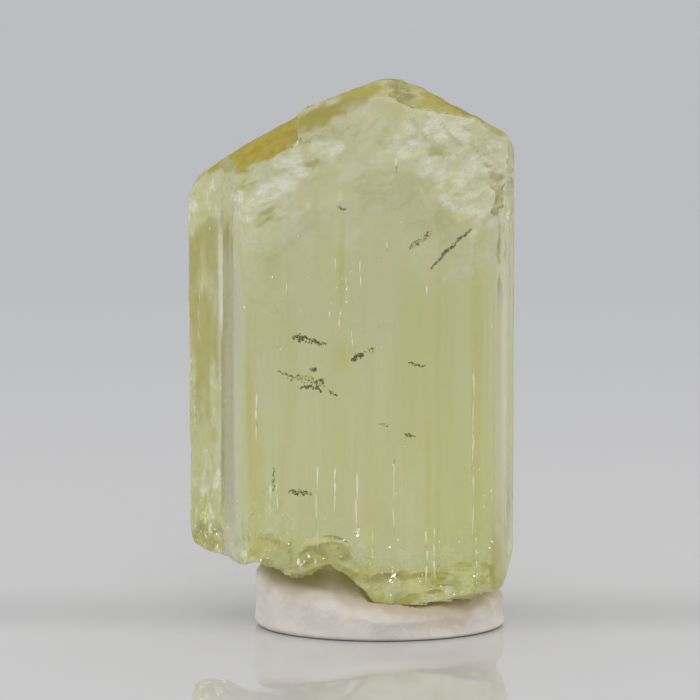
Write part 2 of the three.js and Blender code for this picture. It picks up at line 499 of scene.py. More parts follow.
# Yellow growth bands, as (across, lowest, highest, half width in millimetres, strength).
GROWTH_BANDS = (
    (0.475, 0.56, 0.76, 0.13, 0.9),
    (0.20, 0.30, 0.46, 0.2, 0.7),
    (0.735, 0.10, 0.36, 0.12, 0.8),
    (0.48, 0.45, 0.51, 0.3, 0.9),
    (0.88, 0.08, 0.60, 0.2, 0.55),
    (0.22, 0.12, 0.38, 0.27, 0.6),
    (0.73, 0.05, 0.26, 0.19, 0.5),
    (0.47, 0.20, 0.38, 0.3, 0.25),
    (0.53, 0.62, 0.80, 0.15, 0.3),
    (0.36, 0.08, 0.15, 0.8, 0.5),
    (0.60, 0.05, 0.09, 0.8, 0.5),
)
# Where the roof's ochre laps over its edge on the left: (across, up, half length, half width, lean), the
# halves in millimetres.
SKIN_LAPS = (
    (0.075, 0.825, 0.75, 0.35, 26),
    (0.14, 0.838, 0.8, 0.42, 12),
    (0.25, 0.865, 0.8, 0.3, 24),
)
# Where an ochre film shades the crown, in the same way.
CROWN_FILMS = (
    (0.43, 0.935, 1.3, 0.4, 24),
    (0.52, 0.975, 1.1, 0.3, 14),
    (0.78, 0.955, 1.2, 0.22, -26),
    (0.93, 0.905, 0.6, 0.25, -28),
)
# Dark feathers, as (across, up, length, width, lean, bend, share that is bright), sizes in millimetres.
FEATHERS = (
    (0.35, 0.515, 0.5, 0.3, 0, 0.0, 0.0),
    (0.38, 0.51, 1.3, 0.2, -14, 0.0, 0.1),
    (0.525, 0.48, 0.6, 0.28, 30, 0.0, 0.05),
    (0.56, 0.49, 0.5, 0.25, 25, 0.0, 0.85),
    (0.70, 0.465, 0.7, 0.1, -14, 0.04, 0.0),
    (0.37, 0.435, 1.4, 0.3, -12, -0.1, 0.55),
    (0.31, 0.445, 0.7, 0.08, -22, 0.0, 0.0),
    (0.385, 0.42, 0.8, 0.15, -10, -0.12, 0.0),
    (0.41, 0.43, 0.4, 0.22, 45, 0.0, 0.0),
    (0.39, 0.455, 0.25, 0.15, 0, 0.0, 0.0),
    (0.45, 0.41, 0.4, 0.12, -30, 0.0, 0.1),
    (0.71, 0.70, 1.05, 0.24, 38, 0.0, 0.3),
    (0.80, 0.685, 2.1, 0.15, 45, -0.05, 0.0),
    (0.35, 0.22, 0.85, 0.22, -5, 0.0, 0.1),
    (0.27, 0.245, 0.9, 0.08, 90, 0.0, 0.1),
    (0.60, 0.35, 0.35, 0.1, -10, 0.0, 0.3),
    (0.68, 0.33, 0.4, 0.1, -8, 0.0, 0.0),
    (0.475, 0.76, 0.3, 0.09, -18, 0.0, 0.0),
)
# Upright growth tubes, pale as painted highlights, as (across, lowest, highest, width in millimetres, how
# many pieces).
TUBES = (
    (0.11, 0.50, 0.69, 0.12, 3),
    (0.025, 0.30, 0.42, 0.1, 4),
    (0.04, 0.47, 0.58, 0.08, 3),
    (0.22, 0.32, 0.41, 0.12, 3),
    (0.26, 0.17, 0.24, 0.1, 2),
    (0.28, 0.19, 0.24, 0.07, 2),
    (0.31, 0.60, 0.62, 0.07, 1),
    (0.47, 0.53, 0.57, 0.09, 2),
    (0.505, 0.50, 0.53, 0.08, 2),
    (0.49, 0.58, 0.63, 0.07, 3),
    (0.44, 0.55, 0.57, 0.07, 1),
    (0.53, 0.61, 0.66, 0.06, 2),
    (0.455, 0.64, 0.67, 0.06, 1),
    (0.40, 0.10, 0.28, 0.07, 3),
    (0.455, 0.19, 0.27, 0.09, 3),
    (0.52, 0.16, 0.26, 0.12, 2),
    (0.57, 0.09, 0.15, 0.07, 2),
    (0.63, 0.13, 0.29, 0.09, 2),
    (0.64, 0.83, 0.855, 0.11, 1),
    (0.61, 0.68, 0.70, 0.11, 1),
    (0.73, 0.05, 0.15, 0.1, 3),
    (0.755, 0.06, 0.16, 0.07, 3),
    (0.73, 0.59, 0.62, 0.08, 1),
    (0.87, 0.14, 0.46, 0.1, 5),
    (0.88, 0.05, 0.14, 0.12, 4),
    (0.965, 0.14, 0.42, 0.08, 3),
)
# Where small bright cracks gather: (across, up, spread across, spread up, how many, size in millimetres).
GLINT_CLUSTERS = (
    (0.52, 0.145, 0.01, 0.01, 5, 0.2),
    (0.63, 0.06, 0.01, 0.02, 6, 0.2),
    (0.38, 0.09, 0.04, 0.01, 9, 0.18),
    (0.09, 0.10, 0.07, 0.02, 9, 0.14),
    (0.88, 0.06, 0.02, 0.02, 4, 0.1),
    (0.79, 0.04, 0.09, 0.02, 9, 0.08),
    (0.45, 0.60, 0.04, 0.03, 7, 0.07),
    (0.16, 0.40, 0.02, 0.01, 4, 0.12),
    (0.05, 0.44, 0.02, 0.01, 3, 0.1),
)


def on_plan(across, up):
    """A place given as shares of the stone's width and height, in millimetres across and up."""
    low, high = box_of(STONE_NODE)
    return low[0] + across * (high[0] - low[0]), low[2] + up * (high[2] - low[2])


def strewn(chance, clusters, sizes, slimness, strengths):
    """Marks strewn over clusters, as (across, up, half length, half width, lean, strength) in millimetres."""
    marks = []
    for across, up, wide, tall, count, lean in clusters:
        for _ in range(count):
            x, z = on_plan(across + chance.uniform(-wide, wide), up + chance.uniform(-tall, tall))
            length = chance.uniform(*sizes)
            turn = lean + chance.uniform(-30.0, 30.0)
            marks.append((x, z, length, length * chance.uniform(*slimness), turn, chance.uniform(*strengths)))
    return marks


def placed(rows, strength):
    """Rows of (across, up, half length, half width, lean) as marks."""
    return [(*on_plan(across, up), *sizes, strength) for across, up, *sizes in rows]


def banded(bands):
    """Growth bands as upright marks."""
    marks = []
    for across, lowest, highest, half_width, strength in bands:
        x, bottom = on_plan(across, lowest)
        _, top = on_plan(across, highest)
        marks.append((x, (bottom + top) / 2, half_width, (top - bottom) / 2, 0.0, strength))
    return marks


def strokes(spots, marks, ragged, edge):
    """How strongly each spot is covered by the marks, whose outlines are broken up by ragged."""
    cover = np.zeros(len(spots))
    for across, up, length, width, lean, strength in marks:
        cos, sin = math.cos(math.radians(lean)), math.sin(math.radians(lean))
        right, above = spots[:, 0] - across, spots[:, 2] - up
        reach = np.hypot((right * cos + above * sin) / length, (above * cos - right * sin) / width)
        cover = np.maximum(cover, strength * fade(1.0 + edge, 1.0 - edge, reach + ragged))
    return cover


# ---------------------------------------------------------------- the stone


def soften(mesh, spots, weight, rounds):
    """Evens out the surface where weight is 1 by moving each corner towards the middle of its neighbours."""
    ends = np.empty(len(mesh.edges) * 2, dtype=np.int64)
    mesh.edges.foreach_get("vertices", ends)
    ends = ends.reshape(-1, 2)
    ends = np.vstack([ends, ends[:, ::-1]])
    near = np.bincount(ends[:, 0], minlength=len(spots))[:, None]
    for _ in range(rounds):
        sums = [np.bincount(ends[:, 0], spots[ends[:, 1], axis], len(spots)) for axis in range(3)]
        spots = spots + (np.stack(sums, axis=1) / near - spots) * weight[:, None]
    return spots


def crisp_crease(height):
    """1 where the left crease is still crisp."""
    return fade(*CREASE_LOW, height) * fade(*reversed(CREASE_TOP), height)


class Lie:
    """Where each corner of the fine mesh lies: how near the roof and the foot, and on which side."""

    def __init__(self, mesh, stone):
        spots, normals = mesh_arrays(mesh)
        solid = surface_of(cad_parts[STONE_NODE].data)
        inside = spots - normals * 0.05
        self.under_roof = reach_along(solid, inside, (0, 0, 1))
        self.over_foot = reach_along(solid, inside, (0, 0, -1))
        self.drift = layered_noise(spots, 1.6, 11, 3)
        self.spots = self.wear_ribs(mesh, spots)
        self.normals = normals = mesh_arrays(mesh)[1]
        self.top = box_of(STONE_NODE)[1][2]
        x, y, z = self.spots.T
        self.roof = fade(0.35, 0.7, normals[:, 2])
        self.front_back = fade(0.5, 0.8, np.abs(normals[:, 1]))
        self.front = fade(0.05, 0.3, -normals[:, 1])
        self.underside = fade(-0.2, -0.5, normals[:, 2])
        reach = stone.etch_reach / MM * (1.0 + 0.35 * self.drift)
        self.etched = fade(1.05, 0.4, self.under_roof / reach) * (1.0 - self.roof)
        self.shoulder = fade(INNER_CORNER + 0.13, INNER_CORNER - 0.22, x) * (1.0 - self.roof)
        self.shoulder_chips = self.shoulder * fade(self.top - 6.0, self.top - 9.5, z + self.drift)
        self.foot = fade(0.9, 0.1, self.over_foot + 0.4 * self.drift) * fade(7.0, 5.0, z)
        self.broken_back = fade(1.6, 0.2, self.over_foot + 0.5 * self.drift) * fade(2.0, 3.4, y)
        self.broken_back *= 1.0 - self.underside
        self.plain = (1.0 - self.etched) * (1.0 - self.roof) * (1.0 - self.underside)

    def wear_ribs(self, mesh, spots):
        """Wears the steps of the broad faces into soft ribs, and the left crease round but for its middle."""
        x, y, z = spots.T
        front = fade(FACE_LEFT - 0.5, FACE_LEFT - 0.1, x) * fade(FACE_RIGHT - 0.1, FACE_RIGHT - 0.4, x)
        back = fade(FACE_LEFT + 0.1, FACE_LEFT + 0.5, x) * fade(FACE_RIGHT - 0.7, FACE_RIGHT - 1.0, x)
        worn_crease = fade(0.7, 0.3, np.abs(x - INNER_CORNER)) * (1.0 - crisp_crease(z))
        front = np.maximum(front, worn_crease)
        broad_face = np.where(y < 0, front, back)
        broad_face *= fade(0.3, 0.6, self.under_roof) * fade(0.2, 0.5, self.over_foot)
        spots = soften(mesh, spots, 0.8 * broad_face, 26)
        write_positions(mesh, spots)
        return spots


class Grain:
    """The broken and cloudy patterns that the stone's marks and chips follow."""

    def __init__(self, lie):
        warped = lie.spots + 0.25 * lie.drift[:, None]
        self.leaning = warped @ np.array(Matrix.Rotation(math.radians(35.0), 3, "Y")).T
        self.big, self.big_own = chip_field(self.leaning, (1.1, 1.2, 0.6), 21)
        self.mid, self.mid_own = chip_field(self.leaning, (0.55, 0.6, 0.3), 22)
        self.small, self.small_own = chip_field(lie.spots, (0.4, 0.4, 0.7), 23)
        self.grit = layered_noise(lie.spots, 0.5, 24, 3)
        self.shells = layered_noise(lie.spots, (2.2, 2.2, 1.6), 31, 3)
        self.streaks = smooth_noise(lie.spots, (0.2, 1.0, 4.0), 51)
        self.facets = 0.2 + 1.05 * (0.45 * self.mid_own + 0.55 * self.big_own) + 0.2 * self.grit


def bloom_of(lie, grain, chance):
    """How white each corner is: the etched patches, a haze round them and small flecks."""
    marks = strewn(chance, WHITE_CLUSTERS, (0.24, 0.6), (0.35, 0.75), (0.6, 1.0))
    white = strokes(lie.spots, marks, 0.4 * grain.mid + 0.35 * grain.grit - 0.1, 0.3)
    haze = 0.2 * lie.etched * fade(-0.6, 0.5, lie.drift + 0.5 * grain.big)
    cloud = layered_noise(grain.leaning, (1.3, 1.3, 0.7), 61, 3) + 0.3 * grain.mid
    wild = fade(0.15, 0.55, cloud) * lie.etched
    bloom = np.where(lie.front > 0.5, np.maximum(0.8 * white * grain.facets, haze * grain.facets), 0.2 * wild)
    bloom *= 1.0 - lie.roof
    bloom += 0.3 * lie.shoulder_chips * fade(0.6, 0.8, grain.small_own)
    bloom += 0.35 * lie.shoulder * lie.front * fade(0.7, 0.85, grain.small_own) * fade(-0.4, 0.2, grain.grit)
    flecks = lie.front * fade(1.5, 0.2, lie.over_foot + 0.4 * lie.drift) * fade(0.7, 0.85, grain.mid_own)
    return np.maximum(bloom, 0.45 * flecks)


def painted_highlights_of(lie, grain):
    """Painted highlights: pale lines along the left crease and the right bevel, where these edges catch the
    light.
    """
    x, y, z = lie.spots.T
    crease = fade(0.14, 0.05, np.abs(x - INNER_CORNER)) * (y < FRONT_HALF) * crisp_crease(z)
    rim = fade(0.26, 0.1, np.abs(x - FACE_RIGHT + 0.1)) * (y < -2.5) * fade(17.0, 15.0, z)
    rim *= 0.8 + 0.2 * grain.streaks
    bevel = fade(FACE_RIGHT - 0.1, FACE_RIGHT + 0.1, x) * (y < 0.0) * lie.front * (0.8 + 0.3 * grain.streaks)
    return np.maximum(0.8 * crease, np.maximum(0.42 * rim, 0.36 * bevel))


def olive_of(lie, grain, chance):
    """How olive each corner is: pits under the roof, the mottled left shoulder and specks in the foot."""
    marks = strewn(chance, PIT_CLUSTERS, (0.2, 0.5), (0.14, 0.3), (0.6, 1.0))
    pits = strokes(lie.spots, marks, 0.3 * grain.mid + 0.3 * grain.grit, 0.35)
    wild = fade(0.3, 0.6, layered_noise(grain.leaning, (1.0, 1.0, 0.25), 62, 2)) * lie.etched
    olive = np.where(lie.front > 0.5, pits, 0.12 * wild)
    clouds = layered_noise(lie.spots, (0.7, 1.0, 2.2), 65, 3) + 0.12 * (lie.spots[:, 2] - (lie.top - 11.0))
    below_eave = fade(1.0, 2.4, lie.under_roof + 0.6 * lie.drift + 0.3 * grain.mid)
    olive = np.maximum(olive, 0.95 * lie.shoulder * lie.front * below_eave * fade(-0.8, 0.35, clouds))
    low = fade(1.6, 0.3, lie.over_foot + 0.4 * grain.grit) * lie.front
    return np.maximum(olive, 0.55 * low * fade(0.0, 0.5, layered_noise(lie.spots, 0.3, 63, 2)))


def lip_of(lie):
    """The slanting lip between the roof and the front."""
    up = lie.normals[:, 2]
    return fade(0.4, 0.5, up) * fade(0.75, 0.68, up) * lie.front * fade(16.0, 17.5, lie.spots[:, 2])


def yellow_of(lie, grain):
    """How yellow each corner is: growth bands in front, long clouds at the sides, and the roof's lip."""
    yellow = strokes(lie.spots, banded(GROWTH_BANDS), 0.3 * lie.drift + 0.2 * grain.grit, 0.6) * lie.front
    sides = fade(0.1, 0.6, layered_noise(lie.spots, (1.1, 1.1, 9.0), 64, 2)) * (1.0 - lie.front)
    yellow = np.maximum(yellow, 0.5 * sides)
    mottle = fade(-0.5, 0.4, grain.grit + lie.drift + 0.1 * (lie.spots[:, 2] - 12.0))
    yellow = np.maximum(yellow, 0.1 * lie.shoulder * lie.front * mottle)
    return np.maximum(yellow, 0.9 * lip_of(lie))


def film_of(lie, grain):
    """How ochre the clear stone is: along the crown's lip and in thin films below it."""
    ragged = 0.4 * grain.mid + 0.3 * grain.grit
    film = lie.front * strokes(lie.spots, placed(CROWN_FILMS, 1.0), ragged, 0.5)
    lap = strokes(lie.spots, placed(SKIN_LAPS, 1.3), 0.25 * grain.mid + 0.15 * grain.grit, 0.25)
    film = np.maximum(film, lap * (lie.spots[:, 1] < FRONT_HALF))
    rim = lip_of(lie) * fade(STEP_END - 0.3, STEP_END + 0.3, lie.spots[:, 0])
    return np.maximum(film, 0.9 * rim * fade(-0.8, 0.3, lie.drift + 0.6 * grain.grit))


def haze_of(lie, grain):
    """How milky the clear stone is: cracks cloud the shoulder's ends, the right edge and the broken foot."""
    x, _, z = lie.spots.T
    mottle = fade(-0.5, 0.5, grain.grit + 0.5 * lie.drift)
    shoulder = lie.shoulder * fade(lie.top - 7.0, lie.top - 12.0, z + lie.drift) * (0.6 + 0.4 * mottle)
    edge = fade(0.4, 0.2, np.abs(x - FACE_RIGHT + 0.15)) * fade(2.5, 4.0, lie.under_roof)
    foot = fade(2.8, 0.6, lie.over_foot + 0.5 * lie.drift) * (0.35 + 0.65 * mottle)
    eave = fade(2.6, 1.2, lie.under_roof + 0.6 * lie.drift) * fade(FACE_LEFT + 1.0, FACE_LEFT, x)
    return lie.front * np.maximum(np.maximum(shoulder, edge), np.maximum(foot, 0.9 * eave))


def stain_of(lie, grain):
    """Where the ochre skin lies: on the roof's front half."""
    x, y, _ = lie.spots.T
    torn = 0.5 * grain.mid + 0.35 * grain.grit + 0.3 * lie.drift
    back = y + 1.6 * lie.drift + 0.8 * grain.mid + 0.5 * grain.big
    left = fade(STEP_END - 0.1, STEP_END - 0.3, x - 0.25 * (y + 2.5) + torn) * (back < 0.9)
    left *= fade(-5.5, -5.2, x + 0.25 * grain.mid + 0.2 * lie.drift)
    right = fade(0.7, 0.8, lie.normals[:, 2]) * fade(1.8, 2.6, x + 2.5 * torn + 0.4 * y) * (back < 0.6)
    return lie.roof * np.clip(left + 0.8 * right, 0.0, 1.0)


def frosted_reflection_of(lie, grain):
    """How grey each corner is: a frosted stripe on the left ridge and the narrow right bevel, grey as a
    painted reflection of the room at a grazing angle.
    """
    x, y, _ = lie.spots.T
    low_enough = fade(3.0, 4.5, lie.under_roof)
    stripe = fade(INNER_CORNER - 0.1, INNER_CORNER + 0.3, x) * fade(FACE_LEFT + 0.1, FACE_LEFT - 0.3, x)
    stripe *= (y < 0.3) * low_enough * (0.65 + 0.35 * grain.streaks)
    right = fade(FACE_RIGHT - 0.2, FACE_RIGHT, x) * (y < 0.0) * low_enough
    return stripe + 0.15 * right


def carving(lie, grain, marked, stone):
    """How far each corner moves out, in millimetres."""
    depth = stone.chip_depth / MM
    carve = lie.etched * depth * (0.22 + 0.2 * marked) * (0.6 * grain.big + 0.3 * grain.mid - 0.4)
    carve += lie.roof * depth * (0.25 * grain.big + 0.1 * grain.mid - 0.2)
    carve += lie.shoulder * depth * 0.18 * (grain.big - 0.5)
    carve += lie.shoulder_chips * depth * (0.25 * grain.small - 0.2)
    rings = np.sin(8.0 * grain.shells + 2.0 * smooth_noise(lie.spots, 2.0, 35))
    carve += lie.underside * depth * (1.6 * grain.shells + 0.1 * rings + 0.3 * grain.mid - 0.9)
    broken = 0.4 * lie.foot * lie.front_back * lie.front + 1.2 * lie.broken_back
    carve += broken * depth * (0.8 * grain.shells + 0.3 * grain.mid - 0.5)
    broad = smooth_noise(lie.spots, (0.8, 3.0, 9.0), 41) + 0.25 * smooth_noise(lie.spots, (0.4, 3.0, 6.0), 42)
    carve += lie.plain * lie.front_back * stone.rib_depth / MM * broad
    carve += lie.plain * 0.004 * layered_noise(lie.spots, 1.5, 45, 2)
    return np.clip(carve, -0.6, 0.05)


def etch_stone(mesh, stone):
    """Carves and marks the fine mesh. Returns where the ochre skin lies."""
    lie = Lie(mesh, stone)
    grain = Grain(lie)
    chance = np.random.default_rng(stone.mark_seed)
    bloom = bloom_of(lie, grain, chance)
    olive = olive_of(lie, grain, chance)
    bloom = np.maximum(bloom, lip_of(lie) * (0.1 + 0.3 * grain.facets))
    marked = np.clip(bloom + 0.4 * olive, 0.0, 1.0)
    carved = lie.spots + lie.normals * carving(lie, grain, marked, stone)[:, None]
    worn = 0.35 * lie.etched + 0.2 * lie.roof + 0.5 * lie.shoulder + 0.4 * lie.underside + 0.15
    write_positions(mesh, soften(mesh, carved, np.clip(worn, 0.0, 0.8), 2))
    looks = {
        "frost": 0.35 * marked + 0.3 * lie.roof + 0.4 * lie.shoulder_chips,
        "bloom": bloom,
        # Painted highlights of the left crease and the right bevel.
        "painted_highlights": painted_highlights_of(lie, grain),
        "olive": olive,
        "yellow": yellow_of(lie, grain),
        "frosted_reflection": frosted_reflection_of(lie, grain),
        "film": film_of(lie, grain),
        "haze": haze_of(lie, grain),
        "broken": lie.underside,
    }
    for name, values in looks.items():
        paint(mesh, name, np.clip(values, 0.0, 1.0))
    return stain_of(lie, grain)


class CRYSTAL_OT_grow_stone(bpy.types.Operator):
    """Regrow the crystal on a fine mesh and etch it"""

    bl_idname = "crystal.grow_stone"
    bl_label = "Grow the stone"

    def execute(self, context):
        stone = context.scene.crystal_stone
        mesh = finely_meshed(STONE_NODE, stone.cell_share)
        mesh.name = "grown_stone"
        stain = etch_stone(mesh, stone)
        for face in mesh.polygons:
            face.use_smooth = True
            face.material_index = int(np.mean(stain[list(face.vertices)]) > 0.5)
        mesh.set_sharp_from_angle(angle=math.radians(CRISP_EDGE))
        piece = new_piece("grown_stone", mesh, "crystal", stone_finish(stone), ochre_skin_finish(stone))
        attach(piece, "root")
        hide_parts(STONE_NODE)
        return {"FINISHED"}


# ---------------------------------------------------------------- what is sealed in the stone


def flake(chance, size, thickness):
    """One irregular thin plate with five to seven sides, facing -Y."""
    sides = int(chance.integers(5, 8))
    turn = np.sort(chance.uniform(0, 2 * math.pi, sides))
    reach = size * chance.uniform(0.35, 1.0, sides)
    rim = np.stack([reach * np.cos(turn), np.zeros(sides), reach * np.sin(turn)], axis=1)
    rim[:, 1] = chance.uniform(-0.2, 0.2, sides) * size
    spots = np.vstack([rim - (0, thickness / 2, 0), rim + (0, thickness / 2, 0)])
    faces = [tuple(range(sides)), tuple(range(2 * sides - 1, sides - 1, -1))]
    faces += [(k, (k + 1) % sides, (k + 1) % sides + sides, k + sides) for k in range(sides)]
    return spots, faces


def spindle(chance, length, width):
    """A slender four-sided needle that stands up and tapers to both ends."""
    heights = (-0.5, 0.2, 0.42)
    widths = (0.15, 1.0, 0.4)
    rings = []
    for height, share in zip(heights, widths):
        across = width * share / 2
        rings.append([(-across, 0, height * length), (0, -across, height * length)])
        rings[-1] += [(across, 0, height * length), (0, across, height * length)]
    spots = np.array([spot for ring in rings for spot in ring])
    faces = [(3, 2, 1, 0), (8, 9, 10, 11)]
    for ring in range(len(heights) - 1):
        for k in range(4):
            a, b = ring * 4 + k, ring * 4 + (k + 1) % 4
            faces.append((a, b, b + 4, a + 4))
    return turned(spots, chance.uniform(-4, 4), chance.uniform(0, 90)), faces


class Swarm:
    """Many small closed bodies gathered into one mesh."""

    def __init__(self):
        self.spots, self.faces, self.count = [], [], 0

    def add(self, spots, faces, place):
        self.faces += [tuple(self.count + k for k in ring) for ring in faces]
        self.spots.append(spots + place)
        self.count += len(spots)

    def mesh(self, name):
        return mesh_from(name, np.vstack(self.spots), self.faces)


def seal_in(*pieces):
    """Makes each (name, swarm, finish) one piece that is sealed in the stone."""
    for name, swarm, finish in pieces:
        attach(new_piece(name, swarm.mesh(name), "crystal", finish), "root")


def on_stone(skin, across, up):
    """The place on the front of the stone's surface at (across, up), or None where there is no stone."""
    in_front = box_of(STONE_NODE)[0][1] - 5.0
    return skin.ray_cast(Vector((across, in_front, up)), Vector((0.0, 1.0, 0.0)))[0]


def turned(spots, lean, turn=0.0, tip=0.0):
    """Turns spots in degrees: by lean in the front's plane, back by tip, then by turn about the upright."""
    matrix = Matrix.Rotation(math.radians(-tip), 3, "X") @ Matrix.Rotation(math.radians(-lean), 3, "Y")
    matrix = Matrix.Rotation(math.radians(turn), 3, "Z") @ matrix
    return spots @ np.array(matrix).T


def feather_spots(chance, feather, count):
    """Places along a feather, which thins out to both ends."""
    across, up, length, width, lean, bend, _ = feather
    across, up = on_plan(across, up)
    along = chance.uniform(-1.0, 1.0, count)
    over = chance.uniform(-1.0, 1.0, count) * (1.0 - 0.7 * np.abs(along)) * width / 2
    over += bend * (along**2 - 0.33) + 0.02 * np.sin(9.0 * along + chance.uniform(0, 6))
    local = np.stack([along * length / 2, np.zeros(count), over], axis=1)
    return turned(local, lean) + (across, 0.0, up)


class CRYSTAL_OT_seal_feathers(bpy.types.Operator):
    """Seal the dark feathers in the stone"""

    bl_idname = "crystal.seal_feathers"
    bl_label = "Seal the dark feathers"

    def execute(self, context):
        seals = context.scene.crystal_seals
        chance = np.random.default_rng(seals.feather_seed)
        thickness = seals.film_thickness / MM
        skin = surface_of(bpy.data.objects["grown_stone"].data)
        dark, bright = Swarm(), Swarm()
        for feather in FEATHERS:
            length, width, shine = feather[2], feather[3], feather[6]
            count = 1 + int(FLAKES_PER_AREA * length * width + FLAKES_PER_LENGTH * length)
            behind = chance.uniform(0.06, 0.2)
            for place in feather_spots(chance, feather, count):
                size = chance.uniform(0.02, 0.055) * min(1.0, 0.6 + 2.0 * width)
                spots, faces = flake(chance, size * (1.6 if chance.random() < 0.2 else 1.0), thickness)
                shining = chance.random() < shine
                turn = 20 if shining else 50
                spots = turned(spots, chance.uniform(-90, 90), chance.uniform(-turn, turn))
                place = on_stone(skin, place[0], place[2])
                if place is None:
                    continue
                if shining:
                    bright.add(spots, faces, place)
                else:
                    depth = behind + chance.uniform(0.0, 0.08)
                    dark.add(spots, faces, np.array(place) + (0.0, depth, 0.0))
        seal_in(
            ("dark_feathers", dark, dark_film_finish(seals)),
            ("feather_glints", bright, feather_glint_finish()),
        )
        return {"FINISHED"}


class CRYSTAL_OT_seal_tubes(bpy.types.Operator):
    """Seal the growth tubes, pale as painted highlights, and the small bright cracks in the stone"""

    bl_idname = "crystal.seal_tubes"
    bl_label = "Seal the bright tubes"

    def execute(self, context):
        seals = context.scene.crystal_seals
        skin = surface_of(bpy.data.objects["grown_stone"].data)
        chance = np.random.default_rng(seals.tube_seed)
        tubes, cracks = Swarm(), Swarm()
        for across, lowest, highest, width, pieces in TUBES:
            x, bottom = on_plan(across, lowest)
            _, top = on_plan(across, highest)
            step = (top - bottom) / pieces
            for piece in range(pieces):
                up = bottom + (piece + 0.5) * step
                place = on_stone(skin, x + chance.uniform(-0.03, 0.03), up)
                length = step * chance.uniform(0.6, 1.3)
                spots, faces = spindle(chance, length, width * chance.uniform(0.7, 1.1))
                if place is not None:
                    tubes.add(spots * (1.0, 0.4, 1.0), faces, place)
        for across, up, wide, tall, count, size in GLINT_CLUSTERS:
            for _ in range(count):
                x, z = on_plan(across + chance.uniform(-wide, wide), up + chance.uniform(-tall, tall))
                self.add_crack(chance, cracks, skin, (x, z), size * chance.uniform(0.3, 0.8), 0.03)
        for _ in range(seals.foot_crack_count):
            x, z = on_plan(chance.uniform(0.05, 0.95), 0.02 + 0.12 * chance.random())
            self.add_crack(chance, cracks, skin, (x, z), chance.uniform(0.02, 0.07), 0.02)
        for _ in range(seals.crack_count):
            x, z = on_plan(chance.uniform(0.03, 0.97), 0.08 + 0.7 * chance.random() ** 1.5)
            self.add_crack(chance, cracks, skin, (x, z), chance.uniform(0.015, 0.045), 0.02)
        seal_in(
            ("tube_highlights", tubes, tube_highlight_finish(seals)),
            ("small_cracks", cracks, bright_crack_finish(seals)),
        )
        return {"FINISHED"}

    def add_crack(self, chance, cracks, skin, spot, size, thickness):
        spots, faces = flake(chance, size, thickness)
        place = on_stone(skin, *spot)
        if place is not None:
            facing = chance.choice((-CRACK_TURN, CRACK_TURN)) + chance.uniform(-20, 20)
            spots = turned(spots, chance.uniform(-90, 90), facing, CRACK_TIP + chance.uniform(-15, 15))
            cracks.add(spots, faces, np.array(place) - (0.0, size / 4, 0.0))


# ---------------------------------------------------------------- the putty


def knead_pad():
    """The pad as closed rings: a flat underside, a bulging side and a top under the crystal's foot."""
    low, high = box_of(PUTTY_NODE)
    middle = (low + high) / 2
    half = (high - low) / 2
    around = 320
    turn = np.linspace(0, 2 * math.pi, around, endpoint=False)
    flat, toe = 0.93, 0.14  # share of the underside that is flat, and of the height that its round edge takes
    rim, brow = 0.87, 0.74  # share of the top inside its round edge, and of the height below that edge
    # Rings from the middle of the underside, out, up the side and in over the top: share out and share up.
    rings = [(s, 0.0) for s in np.linspace(0.04, flat, 12)]
    for angle in np.linspace(0.0, math.pi / 2, 9)[1:]:
        rings.append((flat + (1 - flat) * math.sin(angle), toe * (1 - math.cos(angle))))
    rings += [(1.0, up) for up in np.linspace(toe, brow, 14)[1:]]
    for angle in np.linspace(0.0, math.pi / 2, 11)[1:]:
        rings.append((rim + (1 - rim) * math.cos(angle), brow + (1 - brow) * math.sin(angle)))
    rings += [(s, 1.0) for s in np.linspace(rim, 0.02, 46)[1:]]
    spots = []
    for out, up in rings:
        x = half[0] * out * np.cos(turn)
        y = half[1] * out * np.sin(turn)
        top = PUTTY_HEIGHT - PUTTY_FALL * x - PUTTY_DOME * y * y
        spots.append(np.stack([x, y, up * top], axis=1))
    return np.vstack(spots) + [middle[0], middle[1], 0.0], len(rings), around


class CRYSTAL_OT_knead_putty(bpy.types.Operator):
    """Knead the putty pad and press the crystal's foot into it"""

    bl_idname = "crystal.knead_putty"
    bl_label = "Knead the putty"

    def execute(self, context):
        putty = context.scene.crystal_putty
        spots, rings, around = knead_pad()
        low, high = box_of(PUTTY_NODE)
        middle = (low + high) / 2
        outward = spots - middle
        outward[:, 2] *= 0.3
        outward /= np.linalg.norm(outward, axis=1, keepdims=True) + 1e-9
        off_floor = fade(0.0, 0.5, spots[:, 2])
        lumps = 0.10 * layered_noise(spots, 1.7, 71, 2) + 0.03 * layered_noise(spots, 0.5, 75, 3) - 0.06
        spots = spots + outward * (lumps * off_floor)[:, None]
        top = fade(0.3, 1.2, spots[:, 2])
        spots[:, 2] += top * 0.05 * layered_noise(spots, 1.1, 81, 3)
        stone = surface_of(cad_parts[STONE_NODE].data)
        clearance = putty.press_gap / MM
        for i, spot in enumerate(spots):
            hit = stone.ray_cast(Vector((spot[0], spot[1], -1.0)), Vector((0, 0, 1)))
            if hit[0] is not None:
                spots[i, 2] = min(spot[2], hit[0].z - clearance)
        faces = []
        for ring in range(rings - 1):
            for k in range(around):
                a = ring * around + k
                b = ring * around + (k + 1) % around
                faces.append((a, b, b + around, a + around))
        faces.append(tuple(range(around - 1, -1, -1)))
        faces.append(tuple((rings - 1) * around + k for k in range(around)))
        mesh = mesh_from("kneaded_putty", spots, faces)
        for face in mesh.polygons:
            face.use_smooth = True
        paint(mesh, "stone_shade", self.stone_shade_of(stone, mesh))
        piece = new_piece("kneaded_putty", mesh, "putty", putty_finish(putty))
        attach(piece, "root")
        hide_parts(PUTTY_NODE)
        return {"FINISHED"}

    def stone_shade_of(self, stone, mesh):
        """How strongly each corner of the pad takes the painted ochre shade, the stone's shadow and the light
        it colours, by nearness to the stone.
        """
        spots, _ = mesh_arrays(mesh)
        gaps = np.array([stone.find_nearest(Vector(spot))[3] for spot in spots])
        return 0.75 * fade(1.1, 0.15, gaps + 0.25 * layered_noise(spots, 0.6, 91, 3))


# ---------------------------------------------------------------- the studio


